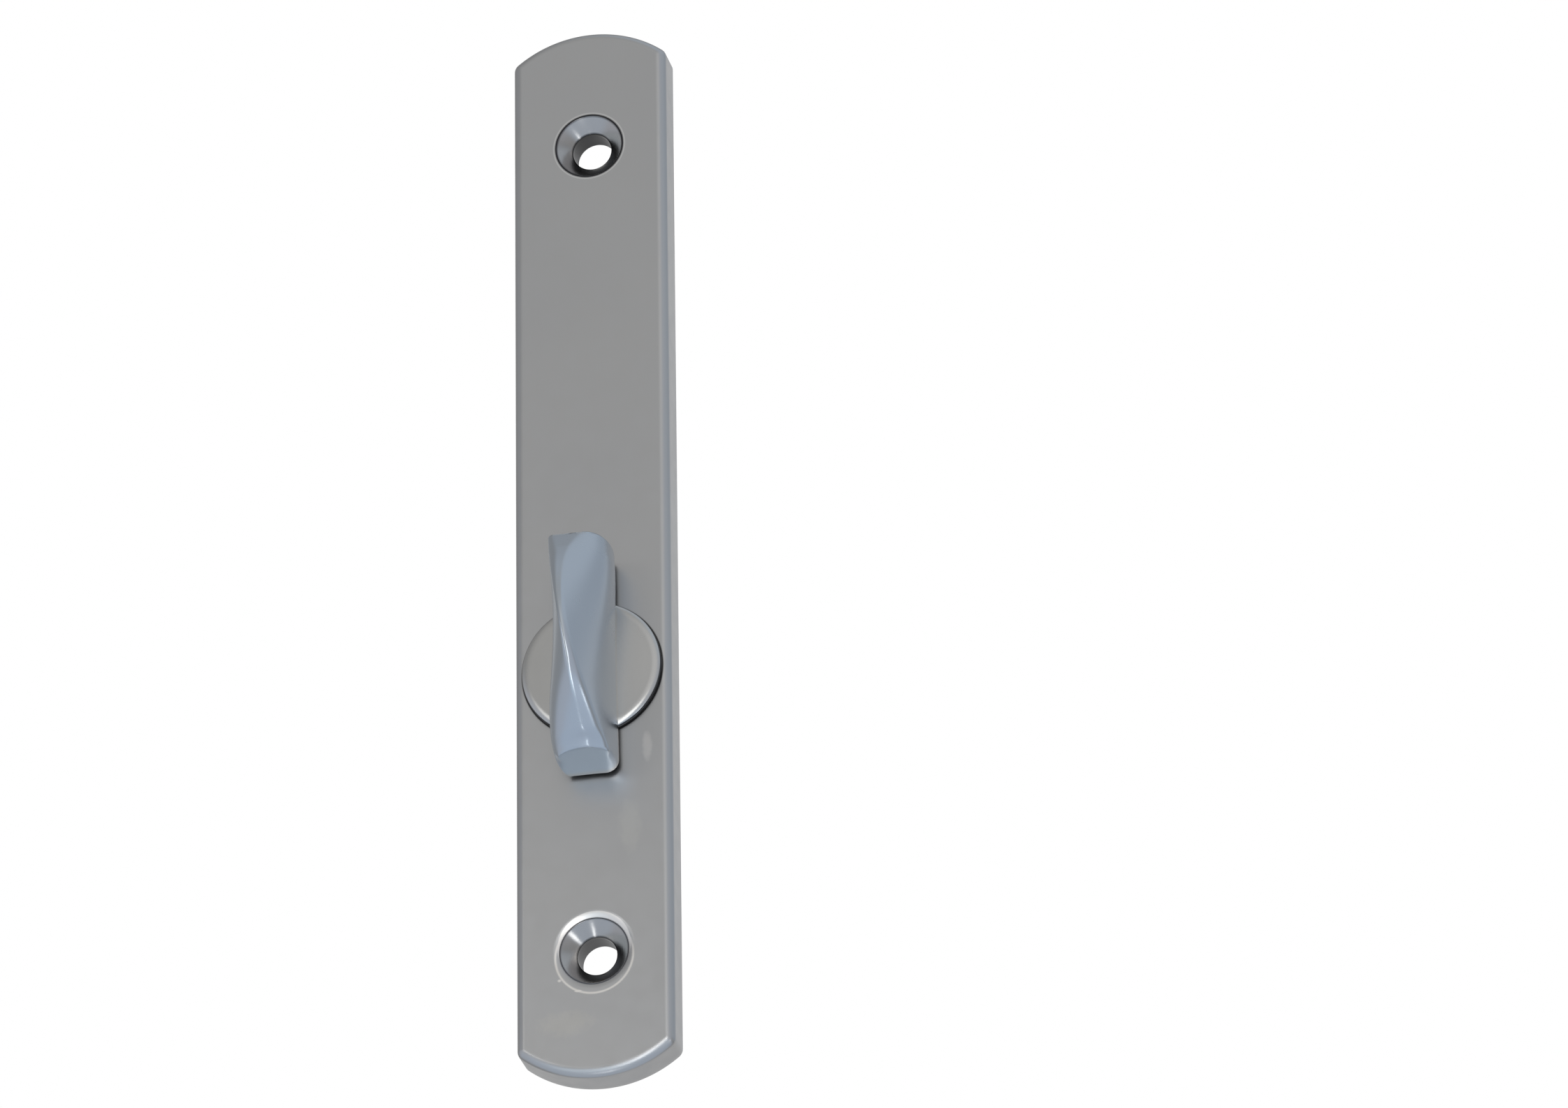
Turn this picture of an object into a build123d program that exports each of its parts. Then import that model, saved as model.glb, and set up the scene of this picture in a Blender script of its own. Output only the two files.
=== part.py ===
"""Long door plate with a twisted thumb turn, in millimetres.

The plate stands upright as it does on a door: +Z is up, the front faces -Y, and the back plane,
which meets the door, is Y = 0. The origin is on the turn's axis in that back plane.
"""
import os
from math import asin, degrees, sqrt

from build123d import *

# Plate
plate_length = 202.0
plate_width = 28.0
plate_depth = 7.0
end_arc_radius = 21.5
corner_radius = 1.8
face_edge_radius = 1.6
turn_below_centre = 25.0
rim_wall = 2.4
face_wall = 2.6

# Screw holes
screw_spacing = 156.0
screw_hole_diameter = 7.0
countersink_diameter = 12.0
countersink_angle = 90.0
screw_boss_diameter = 14.0

# Hub boss and ribs behind the face
hub_boss_diameter = 21.0
hub_boss_sink = 3.6
rib_thickness = 1.6
rib_sink = 1.2
rib_root = 0.5
root_into_face = 1.3

# Turn: round foot and journal
disc_diameter = 25.0
disc_thickness = 1.6
disc_edge_radius = 1.2
disc_clearance = 0.2
journal_diameter = 12.0
journal_clearance = 0.05
journal_sink = 0.2

# Turn: twisted wing
wing_length = 40.6
wing_width = 11.2
wing_foot_width = 9.3
wing_foot_skew = 0.35
wing_clearance = 1.0
wing_narrow_side = 5.0
wing_broad_side = 5.8
wing_foot_corner = 2.4
wing_crest_corner = 0.4
wing_scooped_corner = 0.5
crest_height = 22.7
crest_tip_height = 14.2
crest_fall_power = 1.8
crest_drop = 1.7
wing_tip_radius = 3.0
wing_stations = 9

# Edges of the crest, across the wing, at five places from its lower end to its upper end
crest_right = (4.9, 2.6, 0.55, -0.5, 0.8)
crest_left = (1.5, 0.75, -0.55, -2.45, -4.5)

# How far the flank swells, from its scooped end to its full end: share of the half width, share
# of the local height
flank_low = ((0.93, 0.37), (0.88, 0.34), (0.88, 0.28), (1.02, 0.26), (1.03, 0.38))
flank_high = ((0.93, 0.78), (0.75, 0.70), (0.82, 0.67), (1.21, 0.72), (1.13, 1.05))

# Spindle and its cross pin
spindle_width = 6.0
spindle_reach = 40.0
spindle_chamfer = 0.8
socket_depth = 12.0
socket_clearance = 0.05
pin_diameter = 2.0
pin_depth = 5.4
pin_end_gap = 0.3
socket_end_gap = 0.3

# Retaining stack behind the boss
washer_clearance = 0.15
curved_washer_diameter = 17.4
curved_washer_thickness = 0.4
curved_washer_height = 1.0
flat_washer_diameter = 18.0
flat_washer_thickness = 0.6
ring_thickness = 1.0
ring_radial_width = 1.9
ring_gap_width = 3.4
ring_lug_radius = 1.5
ring_lug_sink = 0.4
ring_lug_hole_diameter = 1.2
groove_depth = 0.35
ring_back = 0.95
stack_clearance = 0.05

plate_half = plate_width / 2
top_of_plate = plate_length / 2 + turn_below_centre
foot_of_plate = plate_length / 2 - turn_below_centre
screw_heights = [turn_below_centre + screw_spacing / 2, turn_below_centre - screw_spacing / 2]
pocket_depth = plate_depth - face_wall
journal_radius = journal_diameter / 2
disc_back = plate_depth + disc_clearance
wing_under = plate_depth + wing_clearance
socket_width = spindle_width + 2 * socket_clearance
groove_radius = journal_radius - groove_depth


def station_value(values, u):
    """Smooth value at u, from -1 to 1, through five values spaced evenly."""
    knots = (-1.0, -0.5, 0.0, 0.5, 1.0)
    total = 0.0
    for i, value in enumerate(values):
        weight = 1.0
        for j, knot in enumerate(knots):
            if j != i:
                weight *= (u - knot) / (knots[i] - knot)
        total += value * weight
    return total


def crest_rise(u):
    """Height of the crest's left edge at u, above the plate."""
    return crest_height - (crest_height - crest_tip_height) * abs(u) ** crest_fall_power


def right_edge_rise(u):
    """Height of the crest's right edge: lower than the left one, and the more so downwards."""
    return crest_rise(u) - crest_drop * ((1 - u) / 2) ** 2


def flank_points(u, edge, height):
    """Four control points of the right flank at u, from the foot up to the crest's edge."""
    rise = height - wing_clearance
    half = wing_width / 2
    points = [(wing_foot_width / 2 - wing_foot_skew * u, wing_clearance)]
    for table in (flank_low, flank_high):
        across = half * station_value([row[0] for row in table], u)
        up = wing_clearance + rise * station_value([row[1] for row in table], u)
        points.append((across, up))
    points.append((edge, height))
    return points


def wing_section(u):
    """Closed section across the wing at u: two curved flanks, the crest and the flat underside.

    The left flank is the right one half a turn round, up to the crest's own left edge.
    """
    right = flank_points(u, station_value(crest_right, u), right_edge_rise(u))
    left = flank_points(-u, -station_value(crest_left, u), crest_rise(u))
    right = [(x, -plate_depth - h) for x, h in right]
    left = [(-x, -plate_depth - h) for x, h in left]
    with BuildSketch(Plane.XY.offset(u * wing_length / 2)) as section:
        with BuildLine():
            Bezier(*right)
            Line(right[-1], left[-1])
            Bezier(*reversed(left))
            Line(left[0], right[0])
        make_face()
    return section.sketch


def wing_plan(depth, corner):
    """Outline that limits the wing as seen from the front, at one depth.

    The two corners on the full side of each end are rounded by the given radius.
    """
    half = wing_length / 2
    with BuildSketch(Plane.XZ.offset(depth)) as plan:
        Polygon(
            (-wing_narrow_side, half), (-wing_broad_side, -half),
            (wing_narrow_side, -half), (wing_broad_side, half),
        )
        fillet(plan.vertices().filter_by(lambda point: point.X * point.Y < 0), radius=corner)
        scooped = plan.vertices().filter_by(lambda point: point.X * point.Y > 0)
        fillet(scooped, radius=wing_scooped_corner)
    return plan.sketch


def wing_side():
    """Outline that limits the wing as seen from its side, with its two tips rounded.

    It leaves the crest's line at the tips, so it meets the wing nowhere else.
    """
    half = wing_length / 2
    tip = -plate_depth - crest_tip_height
    peak = tip - crest_fall_power * (crest_height - crest_tip_height)
    with BuildSketch(Plane.YZ.offset(-wing_width)) as side:
        Polygon(
            (-wing_under, -half), (tip, -half), (peak, 0), (tip, half), (-wing_under, half), align=None
        )
        tips = side.vertices().group_by(Axis.X)[1]
        fillet(tips, radius=wing_tip_radius)
    return side.sketch


def plate_outline():
    """Outline of the plate on the plane XZ, with bowed ends and rounded corners."""
    sag = end_arc_radius - sqrt(end_arc_radius ** 2 - plate_half ** 2)
    with BuildSketch() as outline:
        with BuildLine():
            top = ThreePointArc(
                (-plate_half, top_of_plate - sag), (0, top_of_plate), (plate_half, top_of_plate - sag)
            )
            foot = ThreePointArc(
                (plate_half, sag - foot_of_plate), (0, -foot_of_plate), (-plate_half, sag - foot_of_plate)
            )
            Line(top @ 1, foot @ 0)
            Line(foot @ 1, top @ 0)
        make_face()
        fillet(outline.vertices(), radius=corner_radius)
    return outline.sketch


# Face plate: one casting with a hollow back
outline = plate_outline()
with BuildPart() as face_plate:
    with BuildSketch(Plane.XZ):
        add(outline)
    extrude(amount=plate_depth)
    fillet(face_plate.faces().sort_by(Axis.Y)[0].edges(), radius=face_edge_radius)
    with BuildSketch(Plane.XZ):
        add(outline)
        offset(amount=-rim_wall, mode=Mode.REPLACE)
        with Locations(*[(0, height) for height in screw_heights]):
            Circle(screw_boss_diameter / 2, mode=Mode.SUBTRACT)
    extrude(amount=pocket_depth, mode=Mode.SUBTRACT)
    with BuildSketch(Plane.XZ.offset(rib_sink)):
        with Locations((0, turn_below_centre)):
            Rectangle(rib_thickness, screw_spacing - screw_boss_diameter + 2 * rib_root)
        Circle(hub_boss_diameter / 2, mode=Mode.SUBTRACT)
    extrude(amount=pocket_depth - rib_sink + root_into_face)
    with BuildSketch(Plane.XZ.offset(hub_boss_sink)):
        Circle(hub_boss_diameter / 2)
    extrude(amount=pocket_depth - hub_boss_sink + root_into_face)
    with Locations(Plane.XZ.offset(plate_depth)):
        Hole(journal_radius + journal_clearance)
        with Locations(*[(0, height) for height in screw_heights]):
            CounterSinkHole(
                screw_hole_diameter / 2, countersink_diameter / 2, counter_sink_angle=countersink_angle
            )
face_plate.part.label = "face_plate"

# Turn: wing, foot disc and journal are one casting
with BuildPart() as wing_limits:
    add(wing_plan(wing_under, wing_foot_corner))
    add(wing_plan(plate_depth + crest_tip_height, wing_crest_corner))
    add(wing_plan(plate_depth + crest_height + wing_clearance, wing_crest_corner))
    loft(ruled=True)

with BuildPart() as wing_tips:
    add(wing_side())
    extrude(amount=2 * wing_width)

with BuildPart() as wing:
    for i in range(wing_stations):
        add(wing_section(2 * i / (wing_stations - 1) - 1))
    loft()
    add(wing_limits.part, mode=Mode.INTERSECT)
    add(wing_tips.part, mode=Mode.INTERSECT)

with BuildPart() as thumb_turn:
    with BuildSketch(Plane.XZ.offset(disc_back)):
        Circle(disc_diameter / 2)
    extrude(amount=disc_thickness)
    fillet(thumb_turn.edges().sort_by(Axis.Y)[0], radius=disc_edge_radius)
    add(wing.part)
    with BuildSketch(Plane.XZ.offset(journal_sink)):
        Circle(journal_radius)
    extrude(amount=disc_back - journal_sink)
    with BuildSketch(Plane.XZ.offset(ring_back)):
        Circle(journal_radius)
        Circle(groove_radius, mode=Mode.SUBTRACT)
    extrude(amount=ring_thickness + stack_clearance, mode=Mode.SUBTRACT)
    with BuildSketch(Plane.XZ.offset(journal_sink)):
        Rectangle(socket_width, socket_width)
    extrude(amount=socket_depth, mode=Mode.SUBTRACT)
    with BuildSketch(Plane.YZ):
        with Locations((-pin_depth, 0)):
            Circle(pin_diameter / 2)
    extrude(amount=journal_radius, both=True, mode=Mode.SUBTRACT)
thumb_turn.part.label = "thumb_turn"

# Square bar that passes through the door, held in the turn by a cross pin
with BuildPart() as spindle:
    with BuildSketch(Plane.XZ.offset(journal_sink + socket_depth - socket_end_gap)):
        Rectangle(spindle_width, spindle_width)
    extrude(amount=-(journal_sink + socket_depth - socket_end_gap + spindle_reach))
    chamfer(spindle.faces().sort_by(Axis.Y)[-1].edges(), length=spindle_chamfer)
    with BuildSketch(Plane.YZ):
        with Locations((-pin_depth, 0)):
            Circle(pin_diameter / 2)
    extrude(amount=spindle_width, both=True, mode=Mode.SUBTRACT)
spindle.part.label = "spindle"

with BuildPart() as spindle_pin:
    with BuildSketch(Plane.YZ):
        with Locations((-pin_depth, 0)):
            Circle(pin_diameter / 2)
    extrude(amount=journal_radius - pin_end_gap, both=True)
spindle_pin.part.label = "spindle_pin"

# Curved washer: a flat ring bent about one line, so that it presses like a spring
washer_half = curved_washer_diameter / 2
bend = curved_washer_height - curved_washer_thickness
boss_back = -hub_boss_sink
with BuildPart() as curved_washer:
    with BuildSketch(Plane.XY):
        with BuildLine():
            front = ThreePointArc(
                (-washer_half, boss_back), (0, boss_back + bend), (washer_half, boss_back)
            )
            back = ThreePointArc(
                (washer_half, boss_back + curved_washer_thickness),
                (0, boss_back + curved_washer_height),
                (-washer_half, boss_back + curved_washer_thickness),
            )
            Line(front @ 1, back @ 0)
            Line(back @ 1, front @ 0)
        make_face()
    extrude(amount=curved_washer_diameter, both=True)
    with BuildSketch(Plane.XZ.offset(hub_boss_sink)):
        Circle(washer_half)
        Circle(journal_radius + washer_clearance, mode=Mode.SUBTRACT)
    extrude(amount=-curved_washer_height, mode=Mode.INTERSECT)
curved_washer.part.label = "curved_washer"

with BuildPart() as flat_washer:
    with BuildSketch(Plane.XZ.offset(ring_back + ring_thickness)):
        Circle(flat_washer_diameter / 2)
        Circle(journal_radius + washer_clearance, mode=Mode.SUBTRACT)
    extrude(amount=flat_washer_thickness)
flat_washer.part.label = "flat_washer"

# Retaining ring, open at the bottom between two eyes for pliers
eye_radius_on_ring = groove_radius + ring_radial_width - ring_lug_sink
eye_angle = degrees(asin((ring_gap_width / 2 + ring_lug_radius) / eye_radius_on_ring))
with BuildPart() as retaining_ring:
    with BuildSketch(Plane.XZ.offset(ring_back)):
        Circle(groove_radius + ring_radial_width)
        Circle(groove_radius, mode=Mode.SUBTRACT)
        with Locations((0, -groove_radius - ring_radial_width / 2)):
            Rectangle(ring_gap_width, ring_radial_width * 3, mode=Mode.SUBTRACT)
        with PolarLocations(eye_radius_on_ring, 2, -90 - eye_angle, 4 * eye_angle):
            Circle(ring_lug_radius)
            Circle(ring_lug_hole_diameter / 2, mode=Mode.SUBTRACT)
        Circle(groove_radius, mode=Mode.SUBTRACT)
    extrude(amount=ring_thickness)
retaining_ring.part.label = "retaining_ring"

os.makedirs("parts", exist_ok=True)
for piece in (
    face_plate, thumb_turn, spindle, spindle_pin, curved_washer, flat_washer, retaining_ring
):
    export_step(piece.part, f"parts/{piece.part.label}.step")
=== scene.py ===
"""Long door plate with a twisted thumb turn, dressed for rendering.

Lengths are in metres, and a size written in millimetres is multiplied by MM. +Z is up along the
plate, the front faces -Y, and the plate's back plane is Y = 0. The origin is on the turn's axis.
"""
from math import acos, atan, cos, pi, radians, sin, sqrt, tan

import bmesh
import bpy
from mathutils import Matrix, Vector


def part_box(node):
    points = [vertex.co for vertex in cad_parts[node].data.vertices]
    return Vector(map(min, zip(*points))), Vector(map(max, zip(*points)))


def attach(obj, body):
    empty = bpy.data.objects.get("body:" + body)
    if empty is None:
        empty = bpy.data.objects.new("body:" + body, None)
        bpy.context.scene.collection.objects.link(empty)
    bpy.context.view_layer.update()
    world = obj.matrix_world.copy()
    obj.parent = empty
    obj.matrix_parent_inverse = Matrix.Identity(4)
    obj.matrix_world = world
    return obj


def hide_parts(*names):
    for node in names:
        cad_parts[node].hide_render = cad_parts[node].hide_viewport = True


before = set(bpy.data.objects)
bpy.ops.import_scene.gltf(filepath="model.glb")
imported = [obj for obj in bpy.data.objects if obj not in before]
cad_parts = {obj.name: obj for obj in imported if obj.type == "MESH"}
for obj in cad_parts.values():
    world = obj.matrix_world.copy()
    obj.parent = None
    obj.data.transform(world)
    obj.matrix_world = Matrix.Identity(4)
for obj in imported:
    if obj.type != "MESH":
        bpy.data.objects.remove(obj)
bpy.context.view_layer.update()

MM = 0.001

# Plate, with the frame's own outer sizes
plate_low, plate_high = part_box("face_plate")
plate_half = plate_high.x
plate_depth = -plate_low.y
plate_middle = (plate_low.z + plate_high.z) / 2
end_arc_radius = 21.5 * MM
corner_radius = 1.8 * MM
inner_corner_radius = 0.8 * MM
face_edge_radius = 1.6 * MM
rim_wall = 2.4 * MM
face_wall = 2.6 * MM
back_edge_radius = 0.2 * MM
floor_fillet = 0.5 * MM
wall_draft = 0.15 * MM
pocket_depth = plate_depth - face_wall

# Screw holes and the bosses round them
screw_half_spacing = 78 * MM
screw_radius = 3.5 * MM
countersink_radius = 6 * MM
screw_boss_radius = 7 * MM
mouth_rounding = 0.3 * MM
throat_rounding = 0.2 * MM

# Hub boss and the ribs behind the face
hub_hole_radius = 6.05 * MM
hub_boss_radius = 10.5 * MM
hub_boss_sink = 3.6 * MM
rib_half_thickness = 0.8 * MM
rib_sink = 1.2 * MM

# Turn: disc, journal, socket and cross hole
disc_radius = 12.5 * MM
disc_clearance = 0.2 * MM
disc_thickness = 1.6 * MM
disc_edge_width = 1.7 * MM
disc_edge_depth = 0.95 * MM
disc_dome = 0.22 * MM
journal_radius = 6 * MM
journal_sink = 0.2 * MM
groove_radius = 5.65 * MM
groove_back = 0.95 * MM
groove_width = 1.05 * MM
socket_half = 3.05 * MM
socket_depth = 12 * MM
cross_hole_radius = 1 * MM
cross_hole_depth = 5.4 * MM

# Turn: twisted wing
wing_half_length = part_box("thumb_turn")[1].z
wing_half_width = 5.6 * MM
wing_foot_half = 4.65 * MM
wing_foot_skew = 0.35 * MM
wing_clearance = 1 * MM
foot_corner = 2.4 * MM
crest_corner = 0.4 * MM
scooped_corner = 0.5 * MM
crest_height = 22.7 * MM
crest_tip_height = 14.2 * MM
crest_fall_power = 1.8
crest_drop = 1.7 * MM
lower_tip_fall = 3.8 * MM
crest_right = [x * MM for x in (4.9, 2.6, 0.55, -0.5, 0.8)]
crest_left = [x * MM for x in (2.0, 0.75, -0.55, -2.45, -4.5)]
flank_low_across = (0.93, 0.88, 0.88, 1.02, 1.03)
flank_low_up = (0.37, 0.34, 0.28, 0.26, 0.38)
flank_high_across = (0.93, 0.75, 0.82, 1.21, 1.13)
flank_high_up = (0.78, 0.70, 0.67, 0.72, 1.05)
crisp_edge = 0.38 * MM
ridge_edge = 0.5 * MM
middle_edge = 0.9 * MM
soft_edge = 1.5 * MM
foot_edge = 0.35 * MM
crest_edge_share = 0.46
lower_tip_edge = 1 * MM
upper_tip_edge = 0.6 * MM
left_rim_edge = 2 * MM
right_rim_edge = 1.3 * MM
upper_rim_edge = 0.5 * MM
nose_setback = 1.1 * MM
nose_height = 11 * MM
nose_curve_power = 1.2
tip_span = 3.6 * MM
core_share = 0.94

# The photograph's view of the turn's axis at the plate's front
image_width = 2245
view_azimuth = 13.2
view_elevation = -24
view_distance = 1.739
view_pan = -1.22
view_tilt = -0.66
view_roll = -0.87
focal_pixels = 14230


def smooth_step(low, high, value):
    """0 below low, 1 above high, and a smooth rise between them."""
    share = min(max((value - low) / (high - low), 0), 1)
    return share * share * (3 - 2 * share)


def mix(a, b, share):
    """Value that lies that share of the way from a to b."""
    return a + (b - a) * share


def finished_piece(name, bm, body, node):
    """Object from a bmesh that rides on a body and stands for one CAD node."""
    bmesh.ops.recalc_face_normals(bm, faces=bm.faces)
    mesh = bpy.data.meshes.new(name)
    bm.to_mesh(mesh)
    bm.free()
    piece = bpy.data.objects.new(name, mesh)
    bpy.context.scene.collection.objects.link(piece)
    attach(piece, body)
    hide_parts(node)
    return piece


def combine(piece, tool_bm, operation):
    """Joins the tool's solid to the piece's mesh, or cuts it out, with no modifier left."""
    bmesh.ops.recalc_face_normals(tool_bm, faces=tool_bm.faces)
    tool_mesh = bpy.data.meshes.new("tool")
    tool_bm.to_mesh(tool_mesh)
    tool_bm.free()
    tool = bpy.data.objects.new("tool", tool_mesh)
    bpy.context.scene.collection.objects.link(tool)
    modifier = piece.modifiers.new("combine", "BOOLEAN")
    modifier.operation = operation
    modifier.solver = "EXACT"
    modifier.object = tool
    graph = bpy.context.evaluated_depsgraph_get()
    result = bpy.data.meshes.new_from_object(piece.evaluated_get(graph))
    piece.modifiers.remove(modifier)
    old = piece.data
    piece.data = result
    result.name = piece.name
    bpy.data.meshes.remove(old)
    bpy.data.objects.remove(tool)
    bpy.data.meshes.remove(tool_mesh)


def shade(piece, sharp_degrees):
    """Smooth shading, with edges sharper than the angle left sharp."""
    mesh = piece.data
    mesh.polygons.foreach_set("use_smooth", [True] * len(mesh.polygons))
    mesh.set_sharp_from_angle(angle=radians(sharp_degrees))


def box_solid(low, high):
    """Closed box between two corners."""
    bm = bmesh.new()
    centre = (Vector(low) + Vector(high)) / 2
    size = Vector(high) - Vector(low)
    place = Matrix.Translation(centre) @ Matrix.Diagonal((*size, 1))
    bmesh.ops.create_cube(bm, size=1, matrix=place)
    return bm


def bridge(bm, rings):
    """Quads between each ring of vertices and the next."""
    for first, second in zip(rings, rings[1:]):
        count = len(first)
        for i in range(count):
            j = (i + 1) % count
            bm.faces.new((first[i], first[j], second[j], second[i]))


def ring_edges(bm, ring):
    """Edges of a closed ring of vertices, made where they are missing."""
    edges = []
    for a, b in zip(ring, ring[1:] + ring[:1]):
        edges.append(bm.edges.get((a, b)) or bm.edges.new((a, b)))
    return edges


def fill_between(bm, rings, facing):
    """Flat face bounded by several rings, the first one round the others."""
    edges = [edge for ring in rings for edge in ring_edges(bm, ring)]
    bmesh.ops.triangle_fill(bm, use_beauty=True, use_dissolve=False, edges=edges, normal=facing)


def rounding(radius, start, end, steps):
    """Cosine and sine of each angle of an arc, in degrees, times its radius."""
    for i in range(steps + 1):
        angle = radians(mix(start, end, i / steps))
        yield radius * cos(angle), radius * sin(angle)


def plate_outline(inset, least_corner):
    """Points of the plate's outline moved in by inset: both sides, bowed ends and four corners."""
    side_steps, corner_steps, end_steps = 48, 8, 40
    corner = max(corner_radius - inset, least_corner)
    corner_x = plate_half - inset - corner
    reach = end_arc_radius - inset - corner
    meet = acos(corner_x / reach)
    arc_centre = (plate_high.z - plate_low.z) / 2 - end_arc_radius
    corner_z = arc_centre + sqrt(reach ** 2 - corner_x ** 2)
    half = []
    for i in range(side_steps):
        half.append((corner_x + corner, mix(-corner_z, corner_z, i / side_steps)))
    for i in range(corner_steps):
        angle = mix(0, meet, i / corner_steps)
        half.append((corner_x + corner * cos(angle), corner_z + corner * sin(angle)))
    for i in range(end_steps):
        angle = mix(meet, pi - meet, i / end_steps)
        outer = reach + corner
        half.append((outer * cos(angle), arc_centre + outer * sin(angle)))
    for i in range(corner_steps):
        angle = mix(pi - meet, pi, i / corner_steps)
        half.append((-corner_x + corner * cos(angle), corner_z + corner * sin(angle)))
    whole = half + [(-x, -z) for x, z in half]
    return [(x, plate_middle + z) for x, z in whole]


def outline_ring(bm, inset, y, least_corner=0.25 * MM):
    """Ring of vertices along the plate's outline."""
    return [bm.verts.new((x, y, z)) for x, z in plate_outline(inset, least_corner)]


def circle_ring(bm, radius, y, z, count):
    """Ring of vertices round the line through z, parallel to the turn's axis."""
    angles = [i * (2 * pi / count) for i in range(count)]
    return [bm.verts.new((radius * cos(a), y, z + radius * sin(a))) for a in angles]


def round_wall(bm, profile, z, count):
    """Wall turned from a profile of radius and depth; gives its first and last rings."""
    rings = [circle_ring(bm, radius, y, z, count) for radius, y in profile]
    bridge(bm, rings)
    return rings[0], rings[-1]


def boss_profile(radius, sink):
    """Outer half of a boss: its end face's edge, its tapered wall and the fillet at the floor."""
    top = -sink
    floor = -pocket_depth
    profile = [(radius - 2 * back_edge_radius, top)]
    for across, up in rounding(back_edge_radius, 90, 0, 4):
        profile.append((radius - back_edge_radius + across, top - back_edge_radius + up))
    foot = radius + wall_draft
    for across, up in rounding(floor_fillet, 180, 270, 5):
        profile.append((foot + floor_fillet + across, floor + floor_fillet + up))
    profile.append((foot + 2 * floor_fillet, floor))
    return profile


def screw_hole_profile():
    """Countersunk hole from the front face to the boss's end, then down the boss's outside."""
    front = -plate_depth
    depth = countersink_radius - screw_radius
    profile = [(countersink_radius + 1.2 * MM, front), (countersink_radius + 0.5 * MM, front)]
    bend = mouth_rounding * tan(radians(22.5))
    centre = (countersink_radius + bend, front + mouth_rounding)
    for across, up in rounding(mouth_rounding, -90, -135, 5):
        profile.append((centre[0] + across, centre[1] + up))
    bend = throat_rounding * tan(radians(22.5))
    centre = (screw_radius + throat_rounding, front + depth + bend)
    for across, up in rounding(throat_rounding, -135, -180, 4):
        profile.append((centre[0] + across, centre[1] + up))
    for share in (0.3, 0.6, 0.9):
        profile.append((screw_radius, mix(front + depth, 0, share)))
    for across, up in rounding(back_edge_radius, 180, 90, 4):
        profile.append((screw_radius + back_edge_radius + across, up - back_edge_radius))
    profile.append((screw_radius + 2 * back_edge_radius, 0))
    return profile + boss_profile(screw_boss_radius, 0)


def hub_hole_profile():
    """Hole for the journal from the front face to the boss's end, then down the boss's outside."""
    front = -plate_depth
    profile = [(hub_hole_radius + 2 * back_edge_radius, front)]
    for across, up in rounding(back_edge_radius, -90, -180, 4):
        profile.append((hub_hole_radius + back_edge_radius + across, front + back_edge_radius + up))
    for across, up in rounding(back_edge_radius, 180, 90, 4):
        profile.append(
            (hub_hole_radius + back_edge_radius + across, up - back_edge_radius - hub_boss_sink)
        )
    profile.append((hub_hole_radius + 2 * back_edge_radius, -hub_boss_sink))
    return profile + boss_profile(hub_boss_radius, hub_boss_sink)


def build_plate():
    """Cast plate: rolled front edge, hollow back, countersunk holes, bosses and ribs."""
    bm = bmesh.new()
    front = -plate_depth
    floor = -pocket_depth
    edge = face_edge_radius
    profile = [(edge + 0.5 * MM, front), (edge + 0.15 * MM, front)]
    for across, up in rounding(edge, 270, 180, 14):
        profile.append((edge + across, front + edge + up))
    for share in (0.15, 0.5, 0.85):
        profile.append((0, mix(front + edge, -back_edge_radius, share)))
    for across, up in rounding(back_edge_radius, 180, 90, 4):
        profile.append((back_edge_radius + across, up - back_edge_radius))
    profile.append((2 * back_edge_radius, 0))
    outer = [outline_ring(bm, inset, y) for inset, y in profile]
    bridge(bm, outer)

    profile = [(rim_wall - 2 * back_edge_radius, 0)]
    for across, up in rounding(back_edge_radius, 90, 0, 4):
        profile.append((rim_wall - back_edge_radius + across, up - back_edge_radius))
    foot = rim_wall + wall_draft
    for across, up in rounding(floor_fillet, 180, 270, 5):
        profile.append((foot + floor_fillet + across, floor + floor_fillet + up))
    profile.append((foot + 2 * floor_fillet, floor))
    inner = [outline_ring(bm, inset, y, inner_corner_radius) for inset, y in profile]
    bridge(bm, inner)
    bridge(bm, [outer[-1], inner[0]])

    mouths, feet = [outer[0]], [inner[-1]]
    walls = [(screw_hole_profile(), plate_middle + side * screw_half_spacing) for side in (1, -1)]
    walls.append((hub_hole_profile(), 0))
    for wall, z in walls:
        mouth, boss_foot = round_wall(bm, wall, z, 128)
        mouths.append(mouth)
        feet.append(boss_foot)
    fill_between(bm, mouths, (0, -1, 0))
    fill_between(bm, feet, (0, 1, 0))

    plate = finished_piece("plate_casting", bm, "plate", "face_plate")
    boss_reach = screw_boss_radius - 0.5 * MM
    hub_reach = hub_boss_radius - 0.5 * MM
    for low, high in (
        (hub_reach, plate_middle + screw_half_spacing - boss_reach),
        (plate_middle - screw_half_spacing + boss_reach, -hub_reach),
    ):
        rib = box_solid(
            (-rib_half_thickness, floor - 1 * MM, low), (rib_half_thickness, -rib_sink, high)
        )
        combine(plate, rib, "UNION")
    shade(plate, 32)
    return plate


def station_value(values, u):
    """Smooth value at u, from -1 to 1, through five values spaced evenly."""
    knots = (-1, -0.5, 0, 0.5, 1)
    total = 0
    for i, value in enumerate(values):
        weight = 1
        for j, knot in enumerate(knots):
            if j != i:
                weight *= (u - knot) / (knots[i] - knot)
        total += value * weight
    return total


def crest_rise(u):
    """Height of the crest's left edge at u, above the plate; it falls faster at the lower tip."""
    fall = lower_tip_fall * smooth_step(0.42, 1.15, -u)
    return crest_height - (crest_height - crest_tip_height) * abs(u) ** crest_fall_power - fall


def right_edge_rise(u):
    """Height of the crest's right edge: lower than the left one, and the more so downwards."""
    return crest_rise(u) - crest_drop * ((1 - u) / 2) ** 2


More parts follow.
